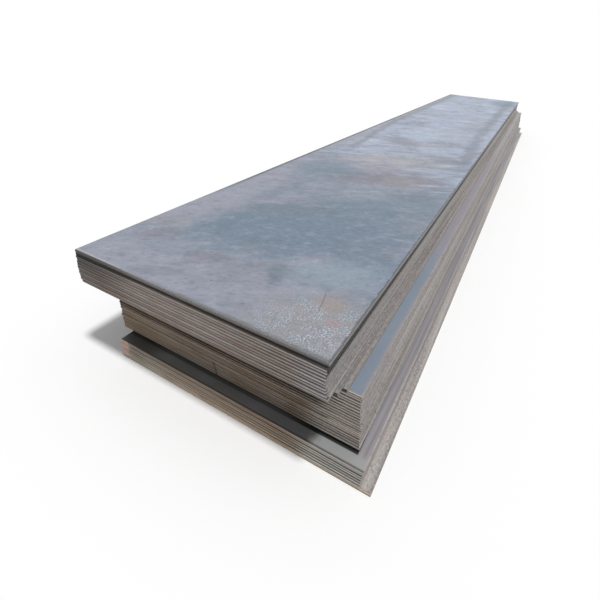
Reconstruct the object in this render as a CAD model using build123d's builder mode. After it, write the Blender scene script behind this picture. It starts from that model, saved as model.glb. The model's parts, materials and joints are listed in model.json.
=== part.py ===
from build123d import *
import os

os.makedirs("parts", exist_ok=True)

# One plate: hot-rolled steel, slit to width and sheared to length
plate_width = 1500
plate_length = 10000
plate_thickness = 16

# The plate on top is heavier than the others
top_thickness = 25

# The sheared ends, as shares of the thickness: the blade draws the edge it enters down,
# cuts a straight land, and the lower part then breaks away inwards
rollover_share = 0.2
fracture_share = 0.45
lean_share = 0.12

# The long slit sides keep only a fine broken edge
side_break = 0.8

# The upper tier: plates lying flush, then some spreading to the right, then some stepping back as well
flush_count = 8
spread_count = 4
spread_right = 3
step_count = 2
step_right = 21
step_back = 61

# The middle tier, placed from the upper tier, leans to the right from its top plate to its lowest
middle_count = 20
middle_right = 112
middle_back = 134
middle_lean = 35

# The lowest plate of the middle tier is tucked in under the others
tuck_left = 18
tuck_back = 24

# The lower tier, placed from the upper tier, and its bottom plate, which sticks out to the right
lower_count = 8
lower_right = 194
lower_back = 61
bottom_right = 52

# Small shifts left by the crane, counted down from the top of each tier, whose first plate lies proud
shifts_across = (6, 0, -1, 1, -2, -1, 0, 1, -1, 0, 1)
shifts_along = (-3, 1, 0, 2, 1, 0, -1, 1, 0, 1, -1, 1, 2)

# List the plates from the top down: name, thickness, place across and place along
plates = []
for i in range(flush_count + spread_count + step_count):
    name = "top_plate" if i == 0 else f"upper_plate_{i + 1:02d}"
    thickness = top_thickness if i == 0 else plate_thickness
    spread = min(max(i + 1 - flush_count, 0), spread_count)
    step = max(i + 1 - flush_count - spread_count, 0)
    across = spread * spread_right + step * step_right + shifts_across[i % len(shifts_across)]
    along = step * step_back + shifts_along[i % len(shifts_along)]
    plates.append((name, thickness, across, along))

for i in range(middle_count):
    lean = middle_lean * i / max(middle_count - 1, 1)
    across = middle_right + lean + shifts_across[i % len(shifts_across)]
    along = middle_back + shifts_along[i % len(shifts_along)]
    if i == middle_count - 1:
        across = across - tuck_left
        along = along + tuck_back
    plates.append((f"middle_plate_{i + 1:02d}", plate_thickness, across, along))

for i in range(lower_count):
    name = "bottom_plate" if i == lower_count - 1 else f"lower_plate_{i + 1:02d}"
    across = lower_right + shifts_across[i % len(shifts_across)]
    along = lower_back + shifts_along[i % len(shifts_along)]
    if i == lower_count - 1:
        across = across + bottom_right
    plates.append((name, plate_thickness, across, along))

# Centre the whole stack over the origin, with its underside on the floor
places_across = [across for name, thickness, across, along in plates]
places_along = [along for name, thickness, across, along in plates]
centre_across = (min(places_across) + max(places_across)) / 2
centre_along = (min(places_along) + max(places_along)) / 2
underside = sum(thickness for name, thickness, across, along in plates)

# Build each plate from its lengthwise section, which carries the shape of the sheared ends
end = plate_length / 2

for name, thickness, across, along in plates:
    underside = underside - thickness
    rollover = rollover_share * thickness
    fracture_height = fracture_share * thickness
    fracture_lean = lean_share * thickness
    middle = (across - centre_across, along - centre_along, underside)

    with BuildPart() as plate:
        with BuildSketch(Plane(origin=middle, x_dir=(0, 1, 0), z_dir=(1, 0, 0))):
            with BuildLine():
                lower_run = Line((fracture_lean - end, 0), (end - fracture_lean, 0))
                back_fracture = Line(lower_run @ 1, (end, fracture_height))
                back_land = Line(back_fracture @ 1, (end, thickness - rollover))
                back_roll = RadiusArc(back_land @ 1, (end - rollover, thickness), -rollover)
                upper_run = Line(back_roll @ 1, (rollover - end, thickness))
                front_roll = RadiusArc(upper_run @ 1, (-end, thickness - rollover), -rollover)
                front_land = Line(front_roll @ 1, (-end, fracture_height))
                Line(front_land @ 1, lower_run @ 0)
            make_face()
        extrude(amount=plate_width / 2, both=True)
        chamfer(plate.faces().filter_by(Axis.X).edges(), side_break)
    plate.part.label = name
    export_step(plate.part, f"parts/{name}.step")
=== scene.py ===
import json
import math

import bpy
from mathutils import Matrix, Vector


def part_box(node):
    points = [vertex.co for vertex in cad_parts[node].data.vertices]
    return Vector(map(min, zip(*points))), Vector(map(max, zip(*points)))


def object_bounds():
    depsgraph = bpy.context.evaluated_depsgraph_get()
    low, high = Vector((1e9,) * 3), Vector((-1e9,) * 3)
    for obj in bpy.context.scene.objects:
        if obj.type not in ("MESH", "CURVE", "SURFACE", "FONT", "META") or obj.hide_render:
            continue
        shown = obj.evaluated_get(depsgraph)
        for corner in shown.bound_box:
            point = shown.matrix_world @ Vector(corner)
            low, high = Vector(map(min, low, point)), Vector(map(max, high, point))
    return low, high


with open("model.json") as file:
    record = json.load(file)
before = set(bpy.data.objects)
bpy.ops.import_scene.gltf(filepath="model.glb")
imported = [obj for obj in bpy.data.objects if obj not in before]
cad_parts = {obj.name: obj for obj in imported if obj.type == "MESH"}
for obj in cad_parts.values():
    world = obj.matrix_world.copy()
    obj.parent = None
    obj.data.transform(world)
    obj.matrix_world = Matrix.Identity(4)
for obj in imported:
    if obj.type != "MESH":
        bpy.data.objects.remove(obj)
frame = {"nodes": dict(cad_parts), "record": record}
cad_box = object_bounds()

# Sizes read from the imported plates, in metres
top_low, top_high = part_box("top_plate")
left, front, top = top_low[0], top_low[1], top_high[2]
right = top_high[0]
top_thick = top_high[2] - top_low[2]
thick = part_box("bottom_plate")[1][2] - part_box("bottom_plate")[0][2]
step_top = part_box("upper_plate_13")[1][2]
middle_front, middle_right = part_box("middle_plate_01")[0][1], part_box("middle_plate_01")[1][0]
tuck_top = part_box("middle_plate_20")[1][2]
shin_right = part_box("middle_plate_19")[1][0]
foot_left, foot_front, foot_right = *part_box("lower_plate_01")[0][:2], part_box("lower_plate_01")[1][0]

# Painted reflection streaks on the rolled faces lie across the view, at this angle from the front ends
reflection_streak_angle = math.radians(34)

scene = bpy.context.scene
scene.view_settings.view_transform = "Standard"


class Bench:
    """Lays nodes out in one tree and wires them together."""

    def __init__(self, tree):
        self.tree = tree

    def add(self, kind, **settings):
        node = self.tree.nodes.new(kind)
        for name, value in settings.items():
            setattr(node, name, value)
        return node

    def feed(self, value, socket):
        if isinstance(value, bpy.types.NodeSocket):
            self.tree.links.new(value, socket)
        else:
            socket.default_value = value

    def sum(self, operation, a, b=0.0, clamp=False):
        node = self.add("ShaderNodeMath", operation=operation, use_clamp=clamp)
        self.feed(a, node.inputs[0])
        self.feed(b, node.inputs[1])
        return node.outputs[0]

    def fade(self, value, start, end, low=0.0, high=1.0):
        """Goes smoothly from low to high as the value goes from start to end."""
        node = self.add("ShaderNodeMapRange", interpolation_type="SMOOTHSTEP")
        for socket, number in zip(node.inputs, (value, start, end, low, high)):
            self.feed(number, socket)
        return node.outputs[0]

    def both(self, a, b):
        return self.sum("MULTIPLY", a, b)

    def mix(self, amount, a, b, mode="MIX"):
        node = self.add("ShaderNodeMix", data_type="RGBA", blend_type=mode)
        self.feed(amount, node.inputs["Factor"])
        self.feed(a, node.inputs[6])
        self.feed(b, node.inputs[7])
        return node.outputs[2]

    def between(self, amount, a, b):
        node = self.add("ShaderNodeMix", data_type="FLOAT")
        self.feed(amount, node.inputs["Factor"])
        self.feed(a, node.inputs[2])
        self.feed(b, node.inputs[3])
        return node.outputs[0]

    def dim(self, amount, colour):
        """Multiplies a colour by a value."""
        grey = self.add("ShaderNodeCombineColor")
        for socket in grey.inputs[:3]:
            self.feed(amount, socket)
        return self.mix(1.0, colour, grey.outputs[0], "MULTIPLY")

    def stretch(self, place, scale, shift=(0, 0, 0)):
        node = self.add("ShaderNodeMapping")
        self.feed(place, node.inputs["Vector"])
        node.inputs["Location"].default_value = shift
        node.inputs["Scale"].default_value = scale
        return node.outputs[0]

    def stretch_across_view(self, place, length, width, shift=(0, 0, 0)):
        """Draws a pattern out across the view, along the angle of the painted reflection streaks."""
        node = self.add("ShaderNodeMapping", vector_type="TEXTURE")
        self.feed(place, node.inputs["Vector"])
        node.inputs["Location"].default_value = shift
        node.inputs["Rotation"].default_value = (0, 0, reflection_streak_angle)
        node.inputs["Scale"].default_value = (length, width, 1)
        return node.outputs[0]

    def noise(self, place, scale, detail=4.0, rough=0.55, distort=0.0):
        node = self.add("ShaderNodeTexNoise")
        self.feed(place, node.inputs["Vector"])
        node.inputs["Scale"].default_value = scale
        node.inputs["Detail"].default_value = detail
        node.inputs["Roughness"].default_value = rough
        node.inputs["Distortion"].default_value = distort
        return node.outputs["Fac"]

    def axes(self, vector):
        node = self.add("ShaderNodeSeparateXYZ")
        self.feed(vector, node.inputs[0])
        return node.outputs[0], node.outputs[1], node.outputs[2]

    def use(self, group, **values):
        node = self.add("ShaderNodeGroup", node_tree=group)
        for name, value in values.items():
            self.feed(value, node.inputs[name.replace("_", " ")])
        return node.outputs


def new_group(name, inputs, outputs):
    """Makes a shader group with named sockets; a tuple is a colour, a number is a value."""
    group = bpy.data.node_groups.new(name, "ShaderNodeTree")
    for label, start in inputs.items():
        kind = "NodeSocketColor" if isinstance(start, tuple) else "NodeSocketFloat"
        socket = group.interface.new_socket(label, in_out="INPUT", socket_type=kind)
        socket.default_value = start
    for label, kind in outputs.items():
        group.interface.new_socket(label, in_out="OUTPUT", socket_type="NodeSocket" + kind)
    bench = Bench(group)
    given = bench.add("NodeGroupInput").outputs
    taken = bench.add("NodeGroupOutput").inputs
    return group, bench, given, taken


def plate_zones():
    """Tells broad faces, sheared ends and slit sides apart, and the plates from each other."""
    group, b, given, taken = new_group("plate_zones", {
        "Lowest": 0.0, "Thickness": 0.016, "Ledge Right": 100.0, "Ledge Front": -100.0}, {
        "Broad": "Float", "End": "Float", "Level": "Float", "Lot": "Float", "Lot 2": "Float",
        "Side Ledge": "Float", "Front Ledge": "Float"})
    spot = b.add("ShaderNodeTexCoord")
    x, y, z = b.axes(spot.outputs["Object"])
    nx, ny, nz = b.axes(spot.outputs["Normal"])
    b.feed(b.fade(b.sum("ABSOLUTE", nz), 0.95, 0.985), taken["Broad"])
    faces_end = b.sum("SUBTRACT", b.sum("ABSOLUTE", ny), b.sum("ABSOLUTE", nx))
    b.feed(b.fade(faces_end, -0.1, 0.1), taken["End"])
    height = b.sum("DIVIDE", b.sum("SUBTRACT", z, given["Lowest"]), given["Thickness"])
    number = b.sum("FLOOR", b.sum("SUBTRACT", height, b.both(nz, 0.4)))
    b.feed(b.sum("SUBTRACT", height, number), taken["Level"])
    b.feed(b.fade(b.sum("SUBTRACT", x, given["Ledge Right"]), -0.004, 0.006), taken["Side Ledge"])
    b.feed(b.fade(b.sum("SUBTRACT", y, given["Ledge Front"]), 0.006, -0.004), taken["Front Ledge"])
    for label, salt in (("Lot", 0.37), ("Lot 2", 71.3)):
        draw = b.add("ShaderNodeTexWhiteNoise", noise_dimensions="1D")
        b.feed(b.sum("ADD", number, salt), draw.inputs["W"])
        b.feed(draw.outputs["Value"], taken[label])
    return group


def mill_scale():
    """Blue-grey rolling skin: slow clouds, pale and dark streaks across the view painted as reflections, thin
    rust, and the relief of grains and pits.
    """
    group, b, given, taken = new_group("mill_scale", {
        "Slate": (0.16, 0.2, 0.26, 1), "Lavender": (0.26, 0.27, 0.33, 1),
        "Rust": (0.22, 0.13, 0.09, 1), "Rust Amount": 0.15, "Lot": 0.5},
        {"Colour": "Color", "Roughness": "Float", "Height": "Float"})
    spot = b.add("ShaderNodeTexCoord").outputs["Object"]
    shifted = b.add("ShaderNodeVectorMath", operation="ADD")
    lot_move = b.add("ShaderNodeCombineXYZ")
    b.feed(b.both(given["Lot"], 40.0), lot_move.inputs[0])
    b.feed(spot, shifted.inputs[0])
    b.feed(lot_move.outputs[0], shifted.inputs[1])
    place = shifted.outputs[0]
    clouds = b.noise(b.stretch_across_view(place, 1.1, 0.7), 1.3, 5, 0.55, 0.5)
    tone = b.mix(b.fade(clouds, 0.38, 0.62), given["Slate"], given["Lavender"])
    reflection_streaks = b.noise(b.stretch_across_view(place, 0.36, 0.17), 1.0, 6, 0.62, 0.5)
    # painted reflections: pale and dark streaks across the view
    tone = b.mix(b.fade(reflection_streaks, 0.5, 0.78, 0, 0.25), tone, (0.42, 0.44, 0.5, 1))
    tone = b.mix(b.fade(reflection_streaks, 0.5, 0.24, 0, 0.3), tone, (0.11, 0.13, 0.16, 1))
    patches = b.noise(b.stretch(place, (1, 1.4, 1), (3, 7, 0)), 3.3, 6, 0.68, 0.4)
    bloom = b.both(b.fade(patches, 0.52, 0.72), given["Rust Amount"])
    tone = b.mix(bloom, tone, given["Rust"])
    b.feed(tone, taken["Colour"])
    grains = b.noise(place, 120.0, 3, 0.7)
    rough = b.sum("ADD", b.fade(clouds, 0.3, 0.7, 0.46, 0.58), b.both(bloom, 0.25))
    b.feed(b.sum("ADD", rough, b.fade(grains, 0.3, 0.7, -0.05, 0.05)), taken["Roughness"])
    pits = b.noise(place, 42.0, 5, 0.65)
    b.feed(b.sum("ADD", b.both(pits, 0.7), b.both(grains, 0.3)), taken["Height"])
    return group


def sheared_end():
    """Cut end of a plate: dark drawn-over edge on top, bright land, rough broken part below; the joints above
    and below darken to the gap colour, partly dark scale and partly painted shade, and the right part gets
    painted light.
    """
    group, b, given, taken = new_group("sheared_end", {
        "Land": (0.437, 0.38, 0.349, 1), "Gap": (0.02, 0.018, 0.017, 1), "Rust": (0.25, 0.145, 0.095, 1),
        "Rust Amount": 0.42, "Head": 0.8, "Foot": 0.8, "Foot Reach": 0.2,
        "Clean Right": 1.32, "Clean From": -0.25, "Clean To": 0.06, "Clean Lean": 0.0, "Clear Left": 0.6,
        "Level": 0.5, "Lot": 0.5, "Lot 2": 0.5},
        {"Colour": "Color", "Roughness": "Float", "Height": "Float"})
    spot = b.add("ShaderNodeTexCoord").outputs["Object"]
    x, y, z = b.axes(spot)
    strokes = b.noise(b.stretch(spot, (110, 1, 140)), 1.0, 4, 0.6)
    wander = b.noise(b.stretch(spot, (9, 1, 60)), 1.0, 3, 0.6)
    level = b.sum("ADD", given["Level"], b.fade(wander, 0.3, 0.7, -0.06, 0.06))
    tone = b.dim(b.fade(given["Lot"], 0, 1, 0.84, 1.14), given["Land"])
    tone = b.dim(b.fade(x, left + 0.05, left + 0.6, 0.72, 1.0), tone)
    broken = b.mix(0.5, given["Gap"], given["Rust"])
    tone = b.mix(b.fade(level, 0.5, 0.2, 0, 0.4), tone, broken)
    tone = b.mix(b.fade(strokes, 0.5, 0.75, 0, 0.3), tone, (0.58, 0.55, 0.51, 1))
    tone = b.mix(b.fade(strokes, 0.5, 0.28, 0, 0.35), tone, given["Gap"])
    patches = b.noise(b.stretch(spot, (4, 1, 22)), 1.0, 5, 0.65, 0.3)
    cover = b.sum("ADD", patches, b.fade(given["Lot 2"], 0, 1, -0.08, 0.08))
    cover = b.sum("SUBTRACT", cover, b.fade(x, right - 0.2, right + 0.02, 0, 0.22))
    bloom = b.both(b.fade(cover, 0.38, 0.62), given["Rust Amount"])
    tone = b.mix(bloom, tone, given["Rust"])
    # painted light: the right part is lighter and bluer, as where it lies outside a cast shadow; its border
    # leans about this height
    lean_height = 0.3
    lean = b.both(b.sum("SUBTRACT", z, lean_height), given["Clean Lean"])
    inwards = b.sum("SUBTRACT", b.sum("SUBTRACT", x, right), lean)
    painted_lit = b.fade(inwards, given["Clean From"], given["Clean To"])
    tone = b.dim(b.between(painted_lit, 1.0, given["Clean Right"]), tone)
    tone = b.mix(painted_lit, tone, (0.94, 1.02, 1.13, 1), "MULTIPLY")
    # painted shade in the joints: the drawn-over head and the broken foot darken to the gap colour, along with
    # their dark scale
    foot = b.fade(b.sum("SUBTRACT", level, given["Foot Reach"]), 0.07, -0.08)
    gap = b.sum("MAXIMUM", b.both(b.fade(level, 0.72, 0.84), given["Head"]), b.both(foot, given["Foot"]))
    gap = b.both(gap, b.between(b.fade(x, left + 0.8, right), given["Clear Left"], 1.0))
    tone = b.mix(gap, tone, given["Gap"])
    b.feed(tone, taken["Colour"])
    b.feed(b.sum("ADD", b.fade(strokes, 0.3, 0.7, 0.52, 0.64), b.both(bloom, 0.25)), taken["Roughness"])
    b.feed(strokes, taken["Height"])
    return group


def slit_side():
    """Long side of a plate: pale, with streaks that run along it; the joints above and below darken to the gap
    colour, partly painted shade.
    """
    group, b, given, taken = new_group("slit_side", {
        "Pale": (0.35, 0.332, 0.315, 1), "Mauve": (0.312, 0.286, 0.29, 1), "Gap": (0.05, 0.045, 0.045, 1),
        "Rust": (0.27, 0.17, 0.12, 1), "Rust Amount": 0.3, "Gap Amount": 0.35, "Foot Reach": 0.075,
        "Level": 0.5, "Lot": 0.5, "Lot 2": 0.5},
        {"Colour": "Color", "Dust": "Color", "Roughness": "Float", "Height": "Float"})
    spot = b.add("ShaderNodeTexCoord").outputs["Object"]
    streaks = b.noise(b.stretch(spot, (150, 1.1, 150)), 1.0, 5, 0.6, 0.2)
    tone = b.mix(b.fade(given["Lot"], 0.1, 0.9), given["Pale"], given["Mauve"])
    bands = b.noise(b.stretch(spot, (50, 0.45, 50), (2, 0, 1)), 1.0, 4, 0.6)
    tone = b.dim(b.fade(bands, 0.32, 0.68, 0.7, 1.28), tone)
    tone = b.mix(b.fade(streaks, 0.5, 0.72, 0, 0.3), tone, (0.47, 0.44, 0.395, 1))
    tone = b.mix(b.fade(streaks, 0.48, 0.27, 0, 0.36), tone, (0.15, 0.132, 0.128, 1))
    specks = b.noise(b.stretch(spot, (100, 48, 120)), 1.0, 3, 0.7)
    tone = b.mix(b.fade(specks, 0.52, 0.68, 0, 0.5), tone, (0.56, 0.53, 0.49, 1))
    tone = b.mix(b.fade(specks, 0.48, 0.32, 0, 0.55), tone, (0.11, 0.1, 0.096, 1))
    patches = b.noise(b.stretch(spot, (30, 2.2, 30), (0, 5, 0)), 1.0, 5, 0.65)
    cover = b.sum("ADD", patches, b.fade(given["Lot 2"], 0, 1, -0.1, 0.1))
    bloom = b.both(b.fade(cover, 0.45, 0.68), given["Rust Amount"])
    tone = b.mix(bloom, tone, given["Rust"])
    b.feed(tone, taken["Dust"])
    # painted shade in the joints to the plates above and below, with the dark of the joint itself
    foot = b.fade(b.sum("SUBTRACT", given["Level"], given["Foot Reach"]), 0.06, -0.045)
    gap = b.both(b.sum("MAXIMUM", b.fade(given["Level"], 0.9, 0.97), foot), given["Gap Amount"])
    tone = b.mix(gap, tone, given["Gap"])
    b.feed(tone, taken["Colour"])
    b.feed(b.sum("ADD", b.fade(streaks, 0.3, 0.7, 0.52, 0.64), b.both(bloom, 0.25)), taken["Roughness"])
    b.feed(b.sum("ADD", b.both(streaks, 0.5), b.both(specks, 0.5)), taken["Height"])
    return group


# How metallic the bare steel and the dark edges (painted shade in the joints and slots, and dirt) are, and the
# fine relief of all faces
steel_metal = 0.15
dark_edge_metal = 0.95
relief_strength = 0.35
relief_depth = 0.002

ZONES = plate_zones()
SCALE = mill_scale()
END = sheared_end()
SIDE = slit_side()


def plate_steel(name, dust=1.0, ledge=(0.05, 0.042, 0.037, 1), zones=None, scale=None,
                end=None, side=None, face_marks=None, edge_marks=None):
    """One plate finish: mill scale on the broad faces, cut steel on the edges."""
    steel = bpy.data.materials.new(name)
    steel.use_nodes = True
    b = Bench(steel.node_tree)
    shader = steel.node_tree.nodes["Principled BSDF"]
    zone = b.use(ZONES, **(zones or {}))
    skin = b.use(SCALE, Lot=zone["Lot"], **(scale or {}))
    ends = b.use(END, Level=zone["Level"], Lot=zone["Lot"], Lot_2=zone["Lot 2"], **(end or {}))
    sides = b.use(SIDE, Level=zone["Level"], Lot=zone["Lot"], Lot_2=zone["Lot 2"], **(side or {}))
    skin_colour = face_marks(b, skin["Colour"]) if face_marks else skin["Colour"]
    # the narrow strips left bare between plates take the side's dust colour, dimmed, at the side; at the front
    # they get painted shade as dark as the joints, unless a ledge colour is given
    skin_colour = b.mix(zone["Side Ledge"], skin_colour, b.dim(dust, sides["Dust"]))
    skin_colour = b.mix(b.both(zone["Front Ledge"], 0.85), skin_colour, ledge)
    edge_colour = b.mix(zone["End"], sides["Colour"], ends["Colour"])
    if edge_marks:
        y = b.axes(b.add("ShaderNodeTexCoord").outputs["Object"])[1]
        # the origin is halfway along the stack, so the ends with y below 0 are the front ones
        at_front = b.both(zone["End"], b.fade(y, 0.1, -0.1))
        at_side = b.sum("SUBTRACT", 1.0, zone["End"])
        edge_colour = edge_marks(b, edge_colour, at_front, at_side)
    edge_rough = b.between(zone["End"], sides["Roughness"], ends["Roughness"])
    edge_height = b.between(zone["End"], sides["Height"], ends["Height"])
    brightness = b.add("ShaderNodeRGBToBW")
    b.feed(edge_colour, brightness.inputs[0])
    # the dark edge colour, mostly painted shade in the joints and slots, is set more metallic than bare steel,
    # so that it shows no pale sheen
    edge_metal = b.fade(brightness.outputs[0], 0.02, 0.2, dark_edge_metal, steel_metal)
    b.feed(b.between(zone["Broad"], edge_metal, steel_metal), shader.inputs["Metallic"])
    b.feed(b.mix(zone["Broad"], edge_colour, skin_colour), shader.inputs["Base Color"])
    b.feed(b.between(zone["Broad"], edge_rough, skin["Roughness"]), shader.inputs["Roughness"])
    bump = b.add("ShaderNodeBump")
    bump.inputs["Strength"].default_value = relief_strength
    bump.inputs["Distance"].default_value = relief_depth
    b.feed(b.between(zone["Broad"], edge_height, skin["Height"]), bump.inputs["Height"])
    b.feed(bump.outputs[0], shader.inputs["Normal"])
    return steel


# Tones of the rolled face
teal = (0.118, 0.178, 0.24, 1)
dark_teal = (0.125, 0.165, 0.205, 1)
light_teal = (0.222, 0.294, 0.36, 1)
slate = (0.15, 0.172, 0.215, 1)
lavender = (0.295, 0.303, 0.365, 1)
warm_grey = (0.285, 0.272, 0.272, 1)
mauve = (0.178, 0.174, 0.212, 1)
cream = (0.375, 0.362, 0.355, 1)
pale_blue = (0.34, 0.42, 0.555, 1)
pale_lilac = (0.335, 0.348, 0.425, 1)
far_pale = (0.46, 0.52, 0.63, 1)
far_white = (0.55, 0.59, 0.68, 1)
far_border = (0.225, 0.232, 0.242, 1)
mottle_pale = (0.42, 0.45, 0.52, 1)
mottle_dark = (0.1, 0.115, 0.14, 1)
scuff_white = (0.5, 0.53, 0.6, 1)
corner_grey = (0.29, 0.305, 0.335, 1)
speck_white = (0.66, 0.67, 0.7, 1)
speck_black = (0.07, 0.07, 0.075, 1)
pink_rust = (0.4, 0.25, 0.26, 1)
tan_rust = (0.3, 0.24, 0.222, 1)
soot = (0.075, 0.075, 0.085, 1)
scratch_brown = (0.11, 0.095, 0.09, 1)
scratch_blue = (0.12, 0.13, 0.15, 1)
rubbed_edge = (0.46, 0.45, 0.43, 1)
rolled_edge = (0.12, 0.118, 0.115, 1)

# Tones of the ledges and of the cut ends
strip_blue = (0.198, 0.24, 0.305, 1)
strip_mauve = (0.27, 0.24, 0.28, 1)
strip_dust = (0.33, 0.3, 0.3, 1)
strip_rim = (0.29, 0.26, 0.262, 1)
foot_lit_grey = (0.335, 0.34, 0.337, 1)
foot_dark_lilac = (0.19, 0.178, 0.198, 1)
foot_lilac = (0.29, 0.268, 0.285, 1)
foot_left_dark = (0.035, 0.034, 0.034, 1)
ledge_slot_shade = (0.012, 0.014, 0.014, 1)
slot_shade_colour = (0.02, 0.017, 0.015, 1)
left_end_dark = (0.03, 0.028, 0.027, 1)
left_corner_dark = (0.04, 0.038, 0.035, 1)
warm_rust = (0.34, 0.245, 0.15, 1)
rubbed_steel = (0.5, 0.47, 0.43, 1)
nick_black = (0.03, 0.026, 0.024, 1)
pink_flake = (0.66, 0.45, 0.37, 1)
sand = (0.66, 0.53, 0.36, 1)
damp_sand = (0.2, 0.13, 0.075, 1)


def rolled_face_marks(b, colour):
    """What the photo shows on the top face, from the front ends to the far ends."""
    spot = b.add("ShaderNodeTexCoord").outputs["Object"]
    x, y, z = b.axes(spot)
    across = b.sum("SUBTRACT", x, left)
    along = b.sum("SUBTRACT", y, front)
    ragged = b.noise(b.stretch_across_view(spot, 0.2, 0.09), 1.0, 8, 0.7, 0.4)
    mottle = b.noise(b.stretch_across_view(spot, 0.09, 0.06, (2, 5, 0)), 1.0, 6, 0.75)
    dashes = b.noise(b.stretch_across_view(spot, 0.26, 0.2, (7, 1, 0)), 1.0, 6, 0.72)
    torn = b.noise(spot, 13.0, 8, 0.75)
    grains = b.noise(spot, 150.0, 2, 0.65)
    patchy = b.noise(spot, 13.0, 4, 0.65)
    streaks = b.noise(b.stretch_across_view(spot, 0.9, 0.16, (1, 2, 0)), 1.0, 7, 0.62, 0.5)
    clouds = b.noise(b.stretch_across_view(spot, 0.55, 0.36, (5, 3, 0)), 1.0, 6, 0.62, 0.7)
    scuffs = b.noise(b.stretch_across_view(spot, 0.034, 0.016, (3, 1, 0)), 1.0, 5, 0.7)

    def blot(place, size, turn=0.0, edge=None, rough=2.2):
        """A patch with a ragged border, whose long side is turned from the front ends."""
        c, s = math.cos(turn), math.sin(turn)
        u = b.sum("SUBTRACT", across, place[0])
        v = b.sum("SUBTRACT", along, place[1])
        p = b.sum("DIVIDE", b.sum("ADD", b.both(u, c), b.both(v, s)), size[0])
        q = b.sum("DIVIDE", b.sum("SUBTRACT", b.both(v, c), b.both(u, s)), size[1])
        reach = b.sum("SQRT", b.sum("ADD", b.both(p, p), b.both(q, q)))
        border = b.both(b.sum("SUBTRACT", edge or ragged, 0.5), rough)
        return b.fade(b.sum("ADD", reach, border), 1.25, 0.45)

    def lay(amount, mask, tone):
        return b.mix(b.both(mask, amount), colour, tone)

    def line(start, end, width):
        """A thin drawn line on the face, a little uneven."""
        slope = (end[0] - start[0]) / (end[1] - start[1])
        offset = b.sum("SUBTRACT", b.sum("SUBTRACT", across, start[0]),
                       b.both(b.sum("SUBTRACT", along, start[1]), slope))
        offset = b.sum("ADD", offset, b.fade(torn, 0.3, 0.7, -0.004, 0.004))
        low, high = sorted((start[1], end[1]))
        within = b.both(b.fade(along, low - 0.01, low + 0.02), b.fade(along, high + 0.01, high - 0.02))
        return b.both(b.fade(b.sum("ABSOLUTE", offset), width, width * 0.3), within)

    # the near half: lavender by the front, a teal stretch behind it, darker patches
    colour = lay(0.7, blot((0.45, 0.15), (1.0, 0.45), 0.25), lavender)
    colour = lay(0.8, blot((0.85, 0.98), (0.95, 0.42), 0.62), teal)
    colour = lay(0.6, blot((1.0, 1.7), (0.6, 0.35), 0.62), teal)
    colour = lay(0.6, blot((0.6, 1.2), (0.4, 0.1), 0.6), dark_teal)
    colour = lay(0.6, blot((1.27, 0.62), (0.32, 0.17), 0.62), light_teal)
    colour = lay(0.65, blot((1.0, 0.42), (0.13, 0.05), 1.9, torn), dark_teal)
    colour = lay(0.55, blot((0.62, 0.36), (0.12, 0.06), 0.6), mauve)
    colour = lay(0.35, blot((0.85, 0.33), (0.3, 0.14), 0.6), slate)
    colour = lay(0.5, blot((0.5, 0.1), (0.2, 0.05), 0.5), slate)
    colour = lay(0.65, blot((0.14, 1.3), (0.2, 1.0)), lavender)
    colour = lay(0.4, blot((0.95, 1.82), (0.3, 0.12), 0.6), lavender)
    colour = lay(0.55, blot((0.19, 0.4), (0.16, 0.09), 0.6), mauve)
    colour = lay(0.4, blot((0.12, 0.56), (0.16, 0.08), 0.6), warm_grey)
    # the far half: pale and streaked, a painted reflection of pale sky at a grazing view, inside two soft
    # lengthwise lines, with a bluer border
    far = b.fade(b.sum("ADD", along, b.fade(streaks, 0.3, 0.7, -0.9, 0.9)), 2.2, 3.6)
    colour = lay(0.85, far, b.mix(b.fade(streaks, 0.35, 0.65), pale_lilac, pale_blue))
    colour = lay(0.55, b.both(far, b.fade(clouds, 0.5, 0.34)), slate)
    colour = lay(0.4, b.both(far, b.fade(clouds, 0.52, 0.68)), far_pale)
    colour = lay(0.65, b.both(far, b.fade(dashes, 0.46, 0.32)), slate)
    colour = lay(0.45, b.both(far, b.fade(dashes, 0.54, 0.68)), far_white)
    for start, end, half in ((1.44, 1.33, 0.11), (0.27, 0.1, 0.075)):
        course = b.sum("ADD", b.fade(along, 2.6, 5.5, start, end), b.fade(ragged, 0.3, 0.7, -0.03, 0.03))
        beside = b.sum("ABSOLUTE", b.sum("SUBTRACT", across, course))
        colour = lay(0.65, b.both(b.fade(beside, half, 0.015), b.fade(along, 2.6, 3.6)), slate)
    colour = lay(0.45, b.both(far, b.fade(across, 0.24, 0.08)), far_border)
    # the band between the halves, with a mauve streak across the view painted as a reflection
    broken = b.fade(dashes, 0.36, 0.6, 0.35, 1.0)
    colour = lay(0.85, blot((0.96, 2.36), (0.55, 0.19), 0.55, rough=2.8), mauve)
    colour = lay(0.55, blot((0.38, 2.3), (0.3, 0.25), 0.62), teal)
    colour = lay(0.65, b.both(blot((0.8, 3.0), (0.5, 0.34), 0.55, rough=3.4), broken), cream)
    colour = lay(0.5, b.both(blot((1.08, 2.4), (0.2, 0.14), 0.55, rough=4.0), broken), warm_grey)
    colour = lay(0.6, blot((1.24, 2.02), (0.2, 0.07), 0.55, rough=2.8), dark_teal)
    colour = lay(0.5, blot((1.28, 3.38), (0.16, 0.14), 0.55, rough=2.8), slate)
    colour = lay(0.5, blot((0.6, 3.95), (0.2, 0.3), 0.55, rough=2.8), slate)
    colour = lay(0.7, blot((1.28, 9.3), (0.3, 0.8)), teal)
    # mottling and fine scuffs all over
    colour = lay(0.32, b.fade(mottle, 0.5, 0.72), mottle_pale)
    colour = lay(0.45, b.fade(mottle, 0.5, 0.28), mottle_dark)
    colour = lay(0.22, b.fade(scuffs, 0.55, 0.72), scuff_white)
    colour = lay(0.5, b.fade(scuffs, 0.45, 0.28), soot)
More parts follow.
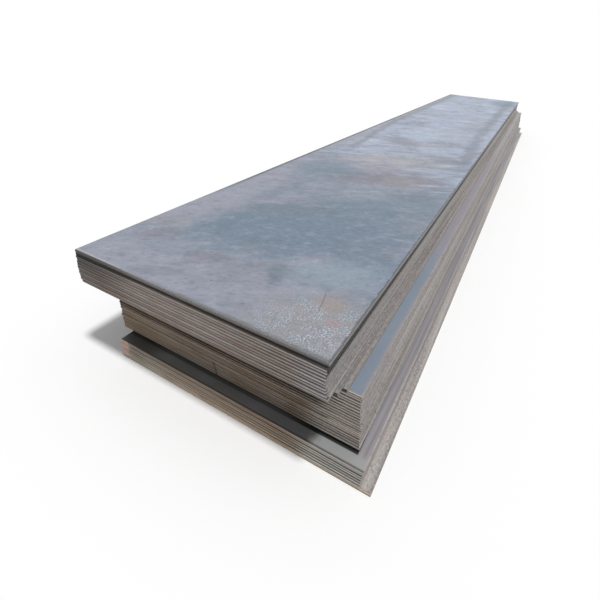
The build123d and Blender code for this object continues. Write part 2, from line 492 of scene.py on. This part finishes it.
    # the near corner: pale and speckled, with rust and two scratches
    corner = blot((1.36, 0.16), (0.33, 0.27), 0.5, torn, 1.6)
    colour = lay(0.65, corner, b.mix(b.fade(patchy, 0.42, 0.58), warm_grey, corner_grey))
    specks = b.sum("MAXIMUM", corner, b.both(blot((1.22, 0.14), (0.17, 0.11), 1.0, torn), 0.9))
    specks = b.both(specks, b.fade(patchy, 0.42, 0.6, 0.28, 1.0))
    colour = lay(0.85, b.both(specks, b.fade(grains, 0.53, 0.66)), speck_white)
    colour = lay(0.75, b.both(specks, b.fade(grains, 0.46, 0.33)), speck_black)
    colour = lay(0.5, blot((1.35, 0.37), (0.07, 0.1), -0.2, torn, 3.0), tan_rust)
    flecks = b.both(blot((1.41, 0.22), (0.035, 0.03), 0.6, torn, 5.0), b.fade(grains, 0.42, 0.58, 0.2, 1))
    colour = lay(0.7, flecks, pink_rust)
    colour = lay(0.6, line((1.32, 0.26), (1.28, 0.43), 0.004), scratch_brown)
    colour = lay(0.45, line((1.2, 0.03), (1.17, 0.17), 0.003), scratch_blue)
    # edges: rubbed bright at the front left, rolled over and dark further right, a dark rim at both sides
    uneven = b.fade(torn, 0.3, 0.7, -0.006, 0.006)
    inset = b.sum("ADD", along, uneven)
    drawn = b.fade(across, 0.25, 0.8)
    colour = lay(0.5, b.both(b.fade(inset, 0.024, 0.008), b.fade(across, 0.5, 0.15)), rubbed_edge)
    colour = lay(0.75, b.both(b.fade(inset, 0.022, 0.004), drawn), rolled_edge)
    inset = b.sum("ADD", b.sum("SUBTRACT", right - left, across), uneven)
    colour = lay(0.75, b.fade(inset, 0.012, 0.003), soot)
    colour = lay(0.8, b.both(b.fade(across, 0.042, 0.014), b.fade(along, 0.9, 1.7)), soot)
    return colour


def strip_marks(b, colour):
    """The strip of the middle tier that lies bare: blue at the front, mauve and dusty further back."""
    spot = b.add("ShaderNodeTexCoord").outputs["Object"]
    x, y, z = b.axes(spot)
    ragged = b.noise(b.stretch(spot, (30, 3, 1)), 1.0, 6, 0.65)
    bare = b.fade(z, tuck_top, tuck_top + 0.25)
    along = b.sum("ADD", b.sum("SUBTRACT", y, front), b.fade(ragged, 0.3, 0.7, -0.3, 0.3))
    tone = b.mix(b.fade(along, 1.3, 2.1), strip_blue, strip_mauve)
    tone = b.mix(b.fade(along, 4.0, 6.0), tone, strip_dust)
    wavy = b.sum("ADD", x, b.fade(ragged, 0.3, 0.7, -0.016, 0.016))
    rim = b.fade(wavy, middle_right - 0.022, middle_right - 0.004)
    tone = b.mix(b.both(rim, 0.7), tone, strip_rim)
    return b.mix(b.both(bare, b.fade(y, middle_front, middle_front + 0.02, 0.4, 0.85)), colour, tone)


def foot_strip(b, colour):
    """The ledge of the lower tier: darker at the left front and painted lighter grey at the right as if lit,
    lilac with lengthwise streaks along the side, and painted shade in the slot under the middle tier.
    """
    spot = b.add("ShaderNodeTexCoord").outputs["Object"]
    x, y, z = b.axes(spot)
    streaks = b.noise(b.stretch(spot, (70, 0.9, 1)), 1.0, 5, 0.65)
    tone = b.mix(b.fade(streaks, 0.35, 0.65), foot_dark_lilac, foot_lilac)
    beside = b.both(b.fade(x, right + 0.1, right + 0.13), b.fade(y, middle_front - 0.03, middle_front + 0.02))
    wavy = b.sum("ADD", x, b.fade(streaks, 0.3, 0.7, -0.014, 0.014))
    # painted light: the right part of the ledge turns a lighter grey
    painted_lit = b.fade(wavy, right - 0.11, right - 0.02, 0, 0.75)
    colour = b.mix(painted_lit, colour, foot_lit_grey)
    # darker towards the left front
    ledge_left_dark = b.both(b.fade(x, foot_left + 0.34, foot_left + 0.14), b.fade(y, front + 0.4, front + 0.2, 0, 0.7))
    colour = b.mix(ledge_left_dark, colour, foot_left_dark)
    colour = b.mix(b.both(beside, 0.9), colour, tone)
    # painted shade on the lower tier's top inside the slot under the middle tier's front, weaker to the left
    slot = b.both(b.fade(y, middle_front - 0.01, middle_front - 0.005),
                  b.fade(x, shin_right + 0.002, shin_right - 0.002))
    slot = b.both(slot, b.fade(y, middle_front + 0.2, middle_front + 0.05))
    return b.mix(b.both(slot, b.fade(x, right - 0.3, right - 0.08, 0.5, 0.97)), colour, ledge_slot_shade)


def paint_slot_shade(b, colour, low, high, amount, soft=0.001):
    """Painted shade on the edges that lie between two heights."""
    z = b.axes(b.add("ShaderNodeTexCoord").outputs["Object"])[2]
    inside = b.both(b.fade(z, low - soft, low + soft), b.fade(z, high + soft, high - soft))
    return b.mix(b.both(inside, amount), colour, slot_shade_colour)


def top_marks(b, colour, at_front, at_side):
    """The end of the top plate darkens towards its underside with painted shade, and is darker at the left."""
    x, y, z = b.axes(b.add("ShaderNodeTexCoord").outputs["Object"])
    colour = b.mix(b.both(at_front, b.fade(x, left + 0.55, left + 0.15, 0, 0.4)), colour, left_end_dark)
    shade = b.fade(z, top - top_thick, top - 0.2 * top_thick, 0.4, 1.0)
    return b.dim(b.between(at_front, 1.0, shade), colour)


def upper_marks(b, colour, at_front, at_side):
    """Painted shade in the slot under the top plate, on the left ends and on the two ends that stand back;
    darker towards the upper left.
    """
    x, y, z = b.axes(b.add("ShaderNodeTexCoord").outputs["Object"])
    under = top - top_thick
    # painted shade under the overhanging top plate: a thin black band on the front ends, a wider one on the
    # sides
    colour = paint_slot_shade(b, colour, under - 0.012, under, b.both(at_front, 0.97), 0.002)
    colour = paint_slot_shade(b, colour, under - 0.058, under, b.both(at_side, 0.95), 0.005)
    # more painted shade under the top plate towards the left ends
    at_left = b.both(at_front, b.fade(x, left + 0.6, left + 0.1, 0, 0.9))
    colour = paint_slot_shade(b, colour, under - 0.02, under, at_left, 0.003)
    # darker towards the upper left of the front ends
    corner = b.both(b.fade(x, left + 0.5, left + 0.05), b.fade(z, top - 0.2, top - 0.06, 0.25, 1.0))
    colour = b.mix(b.both(b.both(corner, at_front), 0.7), colour, left_corner_dark)
    # painted shade on the two ends that stand back under the tier
    return paint_slot_shade(b, colour, step_top - 2 * thick, step_top, b.both(at_front, 0.9))


def middle_marks(b, colour, at_front, at_side):
    """Warm left part, painted shade on the joints where the front comes out from under the upper tier and in
    the slot over the tucked plate, a nick, a rubbed edge.
    """
    x, y, z = b.axes(b.add("ShaderNodeTexCoord").outputs["Object"])
    warm = b.both(at_front, b.fade(x, left + 0.7, left + 0.3, 0, 0.35))
    colour = b.mix(warm, colour, warm_rust)
    # painted shade where the front comes out from under the upper tier: a darker band and two black joints,
    # fading out at the right
    shaded = b.both(at_front, b.fade(x, right - 0.03, right - 0.1))
    first_gap = tuck_top + 11 * thick
    colour = paint_slot_shade(b, colour, first_gap - 1.7 * thick, first_gap + thick, b.both(shaded, 0.35), 0.006)
    for gap in (first_gap, first_gap - thick):
        colour = paint_slot_shade(b, colour, gap - 0.005, gap + 0.004, b.both(shaded, 0.92), 0.002)
    rubbed = b.both(b.fade(z, tuck_top + 0.006, tuck_top + 0.004),
                    b.fade(z, tuck_top - 0.001, tuck_top + 0.001))
    rubbed = b.both(rubbed, b.fade(x, right - 0.25, right - 0.05))
    colour = b.mix(b.both(b.both(rubbed, at_front), 0.8), colour, rubbed_steel)
    nick_at = b.sum("SUBTRACT", left + 0.885, b.both(z, 0.3))
    nick = b.fade(b.sum("ABSOLUTE", b.sum("SUBTRACT", x, nick_at)), 0.007, 0.002)
    nick = b.both(nick, b.fade(z, 0.234, 0.224))
    colour = b.mix(b.both(b.both(nick, at_front), 0.7), colour, nick_black)
    # painted shade in the slot over the tucked plate, weaker to the left
    in_slot = b.both(at_front, b.fade(x, right - 0.3, right - 0.08, 0.5, 0.9))
    return paint_slot_shade(b, colour, tuck_top - thick, tuck_top, in_slot)


def foot_marks(b, colour, at_front, at_side):
    """Flaked pink rust at the left end of the lower tier, and sand on the bottom plate."""
    spot = b.add("ShaderNodeTexCoord").outputs["Object"]
    x, y, z = b.axes(spot)
    torn = b.noise(spot, 22.0, 5, 0.65)
    shade = b.between(b.fade(x, right - 0.35, right - 0.1), b.fade(z, 0.045, 0.11, 1.1, 0.82), 1.04)
    colour = b.dim(b.between(at_front, 1.0, shade), colour)
    tint = b.mix(b.fade(x, left + 0.4, left + 0.8), (1.0, 1.07, 1.09, 1), (0.95, 0.88, 0.84, 1))
    tint = b.mix(b.fade(x, right - 0.25, right - 0.05), tint, (0.93, 0.98, 1.02, 1))
    colour = b.mix(at_front, colour, tint, "MULTIPLY")
    gone = b.sum("ADD", b.sum("SUBTRACT", x, foot_left), b.fade(torn, 0.3, 0.7, -0.03, 0.03))
    colour = b.mix(b.both(b.fade(gone, 0.075, 0.045, 0, 0.85), at_front), colour, pink_flake)
    sandy = b.both(at_front, b.fade(x, left + 0.3, left + 0.7))
    high = b.both(b.fade(z, thick * 0.4, thick * 0.6), b.fade(z, thick * 1.15, thick * 0.95))
    colour = b.mix(b.both(b.both(high, sandy), b.fade(torn, 0.35, 0.6, 0.6, 0.95)), colour, sand)
    low = b.both(b.fade(z, thick * 0.6, thick * 0.4), b.fade(x, right - 0.5, right))
    return b.mix(b.both(b.both(low, at_front), 0.8), colour, damp_sand)


finishes = {
    "top_steel": plate_steel(
        "top_plate_steel", zones=dict(Lowest=top - top_thick, Thickness=top_thick),
        scale=dict(Rust_Amount=0.08),
        # the lower part of the top plate's end and side is painted nearly black, as shade under its overhanging
        # edge
        end=dict(Land=(0.17, 0.166, 0.16, 1), Gap=(0.01, 0.01, 0.01, 1), Head=0.05, Foot=0.85,
                 Foot_Reach=0.22, Rust_Amount=0.15, Clean_Right=1.0, Clear_Left=1.0),
        side=dict(Pale=(0.28, 0.268, 0.262, 1), Mauve=(0.28, 0.268, 0.262, 1), Gap=(0.014, 0.012, 0.014, 1),
                  Gap_Amount=0.7, Foot_Reach=0.15),
        face_marks=rolled_face_marks, edge_marks=top_marks),
    "upper_steel": plate_steel(
        "upper_tier_steel", dust=0.78, zones=dict(Ledge_Right=right - 0.014, Ledge_Front=front + 0.02),
        side=dict(Rust_Amount=0.14), edge_marks=upper_marks),
    "middle_steel": plate_steel(
        # the middle tier's front ledges get a pale colour: painted light that lifts their shade
        "middle_tier_steel", dust=0.85, ledge=(0.6, 0.48, 0.37, 1),
        zones=dict(Ledge_Right=middle_right - 0.006, Ledge_Front=middle_front + 0.006),
        scale=dict(Slate=(0.19, 0.21, 0.24, 1), Lavender=(0.27, 0.27, 0.3, 1)),
        # painted light: the ends turn lighter and bluer towards the right, with a border that leans
        end=dict(Land=(0.31, 0.255, 0.205, 1), Rust=(0.19, 0.125, 0.078, 1), Rust_Amount=0.7,
                 Clean_Right=1.85, Clean_From=-0.13, Clean_To=-0.01, Clean_Lean=0.38, Clear_Left=0.3),
        side=dict(Pale=(0.385, 0.368, 0.35, 1), Mauve=(0.34, 0.312, 0.318, 1)),
        face_marks=strip_marks, edge_marks=middle_marks),
    "lower_steel": plate_steel(
        "lower_tier_steel", zones=dict(Ledge_Right=foot_right - 0.006, Ledge_Front=foot_front + 0.008),
        scale=dict(Slate=(0.185, 0.19, 0.19, 1), Lavender=(0.25, 0.245, 0.255, 1)),
        # painted light: the ends turn lighter and bluer towards the right, with a border that leans
        end=dict(Land=(0.455, 0.38, 0.3, 1), Rust=(0.26, 0.175, 0.11, 1), Rust_Amount=0.5,
                 Clean_Right=1.55, Clean_From=-0.08, Clean_To=0.04, Clean_Lean=0.38, Clear_Left=0.4),
        side=dict(Pale=(0.39, 0.375, 0.352, 1), Mauve=(0.36, 0.333, 0.322, 1)),
        face_marks=foot_strip, edge_marks=foot_marks),
}

slot_of = {part["node"]: part["material_slot"] for part in frame["record"]["subparts"]}
for node_name, plate in frame["nodes"].items():
    plate.data.materials.clear()
    plate.data.materials.append(finishes[slot_of[node_name]])


def shown_rays(b):
    """The rays that show the surround: straight from the camera, mirrored or through glass."""
    rays = b.add("ShaderNodeLightPath").outputs
    seen = b.sum("MAXIMUM", rays["Is Camera Ray"], rays["Is Glossy Ray"])
    return b.sum("MAXIMUM", seen, rays["Is Transmission Ray"])


def pale_floor():
    """A flat pale floor that takes the stack's shadow and turns white away from it."""
    reach = 120.0
    mesh = bpy.data.meshes.new("floor")
    corners = [(-reach, -reach, 0), (reach, -reach, 0), (reach, reach, 0), (-reach, reach, 0)]
    mesh.from_pydata(corners, [], [(0, 1, 2, 3)])
    floor = bpy.data.objects.new("floor", mesh)
    scene.collection.objects.link(floor)
    paint = bpy.data.materials.new("floor_paint")
    paint.use_nodes = True
    tree = paint.node_tree
    tree.nodes.clear()
    b = Bench(tree)
    x, y, z = b.axes(b.add("ShaderNodeTexCoord").outputs["Object"])
    beside = b.sum("MAXIMUM", b.sum("SUBTRACT", b.sum("ABSOLUTE", x), cad_box[1][0]), 0)
    beyond = b.sum("MAXIMUM", b.sum("SUBTRACT", b.sum("ABSOLUTE", y), cad_box[1][1]), 0)
    gone = b.sum("SQRT", b.sum("ADD", b.both(beside, beside), b.both(beyond, beyond)))
    shown = shown_rays(b)
    plain = b.add("ShaderNodeBsdfDiffuse")
    b.feed(b.mix(shown, (0.45, 0.45, 0.45, 1), (0.92, 0.92, 0.92, 1)), plain.inputs["Color"])
    white = b.add("ShaderNodeEmission")
    joined = b.add("ShaderNodeMixShader")
    b.feed(b.both(b.fade(gone, 0.02, 0.9), shown), joined.inputs[0])
    b.feed(plain.outputs[0], joined.inputs[1])
    b.feed(white.outputs[0], joined.inputs[2])
    end = b.add("ShaderNodeOutputMaterial")
    b.feed(joined.outputs[0], end.inputs[0])
    mesh.materials.append(paint)


def soft_light():
    """A high lamp a little to the right and in front, and an even pale surround."""
    lamp = bpy.data.lights.new("key", "SUN")
    lamp.energy = 2.25
    lamp.angle = math.radians(7)
    key = bpy.data.objects.new("key", lamp)
    towards = Vector((0.22, -0.1, 0.97))
    key.rotation_euler = towards.to_track_quat("Z", "Y").to_euler()
    scene.collection.objects.link(key)
    world = bpy.data.worlds.new("surround")
    world.use_nodes = True
    scene.world = world
    b = Bench(world.node_tree)
    sky = world.node_tree.nodes["Background"]
    sky.inputs["Color"].default_value = (1, 1, 1, 1)
    b.feed(b.fade(shown_rays(b), 0, 1, 0.4, 1.0), sky.inputs["Strength"])


def photo_camera():
    """Stands where a person stood at the front right corner, looking along the stack."""
    lens = bpy.data.cameras.new("camera")
    # fitted in pixels: the side of the square picture, the lens and the point it looks straight at
    picture, focal, aim_across, aim_down = 600, 415.71, 287.0, 233.8
    sensor = 36
    lens.sensor_width = sensor
    lens.lens = focal / picture * sensor
    lens.shift_x = (picture / 2 - aim_across) / picture
    lens.shift_y = (aim_down - picture / 2) / picture
    lens.clip_end = 500
    camera = bpy.data.objects.new("camera", lens)
    place = Matrix.Translation((left + 1.9134, front - 1.1356, 1.7794))
    turn = Matrix.Rotation(math.radians(29.078), 4, "Z")
    tilt = Matrix.Rotation(math.radians(64.283), 4, "X")
    roll = Matrix.Rotation(math.radians(3.752), 4, "Z")
    camera.matrix_world = place @ turn @ tilt @ roll
    scene.collection.objects.link(camera)
    scene.camera = camera


pale_floor()
soft_light()
photo_camera()
